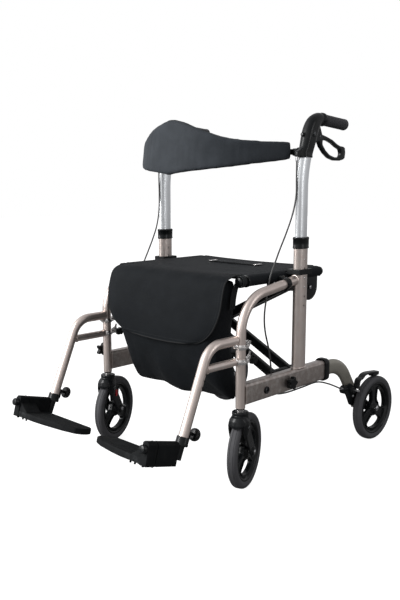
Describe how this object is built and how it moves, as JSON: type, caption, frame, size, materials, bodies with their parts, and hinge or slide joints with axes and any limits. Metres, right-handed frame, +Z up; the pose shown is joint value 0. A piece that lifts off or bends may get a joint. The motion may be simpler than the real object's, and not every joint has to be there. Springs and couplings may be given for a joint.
{
  "type": "side-folding rollator with footrests",
  "caption": "Wheeled walker that folds side to side on crossed braces, with a cloth seat, padded back band, bag and swing-away footrests.",
  "frame": {"origin": "centre of the bounding box on the floor", "axes": "+Z up, -Y to the front where the footrests are, +X to the object's left"},
  "size_m": [0.645, 1.0322, 0.9806],
  "materials": {
    "frame_metal": "satin champagne metallic",
    "leg_metal": "satin bronze metallic",
    "silver_tube": "polished anodised",
    "clamp_chrome": "polished",
    "black_plastic": "fine texture",
    "wheel_plastic": "satin",
    "grip_rubber": "soft matte",
    "tyre_rubber": "matte",
    "black_steel": "satin powder coat",
    "cloth": "woven nylon",
    "cable_casing": "satin"
  },
  "bodies": {
    "left_frame": {"left_front_tube": "frame_metal", "left_rear_post": "frame_metal", "left_lower_beam": "frame_metal", "left_post_collar": "black_plastic", "left_leg_collar": "black_plastic", "left_rear_leg": "leg_metal", "left_axle_bracket": "black_steel", "left_seat_saddle": "black_plastic", "left_beam_bracket": "black_steel", "left_brake_cable": "cable_casing"},
    "left_seat_rail_body": {"left_seat_rail": "black_steel", "seat": "cloth", "pull_strap": "cloth", "bag": "cloth"},
    "left_handle": {"left_handle_tube": "silver_tube", "left_handle_housing": "black_plastic", "left_grip": "grip_rubber"},
    "left_lever": {"left_brake_lever": "black_plastic"},
    "left_caster": {"left_caster_fork": "black_plastic"},
    "left_front_wheel": {"left_front_tyre": "tyre_rubber", "left_front_rim": "wheel_plastic"},
    "left_rear_wheel": {"left_rear_tyre": "tyre_rubber", "left_rear_rim": "wheel_plastic"},
    "left_brake": {"left_brake_arm": "black_steel"},
    "left_hanger_body": {"left_hanger": "frame_metal", "left_upper_clamp": "clamp_chrome", "left_lower_clamp": "clamp_chrome", "left_hanger_sleeve": "black_plastic"},
    "left_foot_extension": {"left_foot_tube": "black_steel"},
    "left_plate": {"left_footplate": "black_plastic"},
    "right_frame": {"right_front_tube": "frame_metal", "right_rear_post": "frame_metal", "right_lower_beam": "frame_metal", "right_post_collar": "black_plastic", "right_leg_collar": "black_plastic", "right_rear_leg": "leg_metal", "right_axle_bracket": "black_steel", "right_seat_saddle": "black_plastic", "right_beam_bracket": "black_steel", "right_brake_cable": "cable_casing"},
    "right_seat_rail_body": {"right_seat_rail": "black_steel"},
    "right_handle": {"right_handle_tube": "silver_tube", "right_handle_housing": "black_plastic", "right_grip": "grip_rubber"},
    "right_lever": {"right_brake_lever": "black_plastic"},
    "right_caster": {"right_caster_fork": "black_plastic"},
    "right_front_wheel": {"right_front_tyre": "tyre_rubber", "right_front_rim": "wheel_plastic"},
    "right_rear_wheel": {"right_rear_tyre": "tyre_rubber", "right_rear_rim": "wheel_plastic"},
    "right_brake": {"right_brake_arm": "black_steel"},
    "right_hanger_body": {"right_hanger": "frame_metal", "right_upper_clamp": "clamp_chrome", "right_lower_clamp": "clamp_chrome", "right_hanger_sleeve": "black_plastic"},
    "right_foot_extension": {"right_foot_tube": "black_steel"},
    "right_plate": {"right_footplate": "black_plastic"},
    "first_brace": {"brace_a": "black_steel"},
    "second_brace": {"brace_b": "black_steel"},
    "back_band": {"backrest": "cloth"}
  },
  "joints": [
    {"name": "fold", "type": "hinge", "parent": "left_frame", "child": "first_brace", "pos_m": [0.232, 0.02806, 0.275], "axis": [0, 1, 0], "range_deg": [0, 42], "deforming": ["seat", "pull_strap", "bag", "backrest"]},
    {"name": "brace_cross", "type": "hinge", "parent": "first_brace", "child": "second_brace", "pos_m": [0, 0.02806, 0.3915], "axis": [0, 1, 0], "range_deg": [-84, 0]},
    {"name": "right_frame_pivot", "type": "hinge", "parent": "second_brace", "child": "right_frame", "pos_m": [-0.232, 0.02806, 0.275], "axis": [0, 1, 0], "range_deg": [0, 42]},
    {"name": "left_rail_pivot", "type": "hinge", "parent": "second_brace", "child": "left_seat_rail_body", "pos_m": [0.232, 0.02806, 0.508], "axis": [0, 1, 0], "range_deg": [0, 42]},
    {"name": "right_rail_pivot", "type": "hinge", "parent": "first_brace", "child": "right_seat_rail_body", "pos_m": [-0.232, 0.02806, 0.508], "axis": [0, 1, 0], "range_deg": [-42, 0]},
    {"name": "left_handle_height", "type": "slide", "parent": "left_frame", "child": "left_handle", "axis": [0, 0, 1], "range_m": [-0.12, 0], "deforming": ["left_brake_cable", "right_brake_cable"]},
    {"name": "left_brake_lever_pull", "type": "hinge", "parent": "left_handle", "child": "left_lever", "pos_m": [0.268, 0.12806, 0.918], "axis": [1, 0, 0], "range_deg": [0, 15], "stiffness_Nm_per_rad": 0.5, "springref_deg": -11.46},
    {"name": "left_brake_arm_press", "type": "hinge", "parent": "left_frame", "child": "left_brake", "pos_m": [0.302, 0.31506, 0.174], "axis": [1, 0, 0], "range_deg": [-1.5, 0]},
    {"name": "left_caster_swivel", "type": "hinge", "parent": "left_frame", "child": "left_caster", "pos_m": [0.268, -0.18194, 0], "axis": [0, 0, 1], "continuous": true},
    {"name": "left_front_wheel_spin", "type": "hinge", "parent": "left_caster", "child": "left_front_wheel", "pos_m": [0.25603, -0.14905, 0.1], "axis": [-0.9397, -0.342, 0], "continuous": true},
    {"name": "left_rear_wheel_spin", "type": "hinge", "parent": "left_frame", "child": "left_rear_wheel", "pos_m": [0.302, 0.41606, 0.1], "axis": [1, 0, 0], "continuous": true},
    {"name": "left_hanger_swing", "type": "hinge", "parent": "left_frame", "child": "left_hanger_body", "pos_m": [0.268, -0.18194, 0.347], "axis": [0, 0, 1], "range_deg": [0, 90]},
    {"name": "left_foot_length", "type": "slide", "parent": "left_hanger_body", "child": "left_foot_extension", "axis": [0, -0.3923, -0.9198], "range_m": [0, 0.08]},
    {"name": "left_plate_flip", "type": "hinge", "parent": "left_foot_extension", "child": "left_plate", "pos_m": [0.262, -0.3935, 0.16994], "axis": [0, 0.9659, -0.2588], "range_deg": [0, 90]},
    {"name": "right_handle_height", "type": "slide", "parent": "right_frame", "child": "right_handle", "axis": [0, 0, 1], "range_m": [-0.12, 0]},
    {"name": "right_brake_lever_pull", "type": "hinge", "parent": "right_handle", "child": "right_lever", "pos_m": [-0.268, 0.12806, 0.918], "axis": [1, 0, 0], "range_deg": [0, 15], "stiffness_Nm_per_rad": 0.5, "springref_deg": -11.46},
    {"name": "right_brake_arm_press", "type": "hinge", "parent": "right_frame", "child": "right_brake", "pos_m": [-0.302, 0.31506, 0.174], "axis": [1, 0, 0], "range_deg": [-1.5, 0]},
    {"name": "right_caster_swivel", "type": "hinge", "parent": "right_frame", "child": "right_caster", "pos_m": [-0.268, -0.18194, 0], "axis": [0, 0, 1], "continuous": true},
    {"name": "right_front_wheel_spin", "type": "hinge", "parent": "right_caster", "child": "right_front_wheel", "pos_m": [-0.27997, -0.14905, 0.1], "axis": [-0.9397, -0.342, 0], "continuous": true},
    {"name": "right_rear_wheel_spin", "type": "hinge", "parent": "right_frame", "child": "right_rear_wheel", "pos_m": [-0.302, 0.41606, 0.1], "axis": [1, 0, 0], "continuous": true},
    {"name": "right_hanger_swing", "type": "hinge", "parent": "right_frame", "child": "right_hanger_body", "pos_m": [-0.268, -0.18194, 0.347], "axis": [0, 0, -1], "range_deg": [0, 90]},
    {"name": "right_foot_length", "type": "slide", "parent": "right_hanger_body", "child": "right_foot_extension", "axis": [0, -0.3923, -0.9198], "range_m": [0, 0.08]},
    {"name": "right_plate_flip", "type": "hinge", "parent": "right_foot_extension", "child": "right_plate", "pos_m": [-0.262, -0.3935, 0.16994], "axis": [0, -0.9659, 0.2588], "range_deg": [0, 90]},
    {"name": "backrest_flip", "type": "hinge", "parent": "left_handle", "child": "back_band", "pos_m": [0.2515, 0.07206, 0.877], "axis": [1, 0, 0], "range_deg": [-180, 0]}
  ],
  "couplings": [
    {"joint": "brace_cross", "follows": "fold", "ratio": -2},
    {"joint": "right_frame_pivot", "follows": "fold", "ratio": 1},
    {"joint": "left_rail_pivot", "follows": "fold", "ratio": 1},
    {"joint": "right_rail_pivot", "follows": "fold", "ratio": -1},
    {"joint": "left_brake_arm_press", "follows": "left_brake_lever_pull", "ratio": -0.1},
    {"joint": "left_plate_flip", "follows": "fold", "ratio": 2.1429},
    {"joint": "right_brake_arm_press", "follows": "right_brake_lever_pull", "ratio": -0.1},
    {"joint": "right_plate_flip", "follows": "fold", "ratio": 2.1429},
    {"joint": "right_handle_height", "follows": "left_handle_height", "ratio": 1}
  ]
}
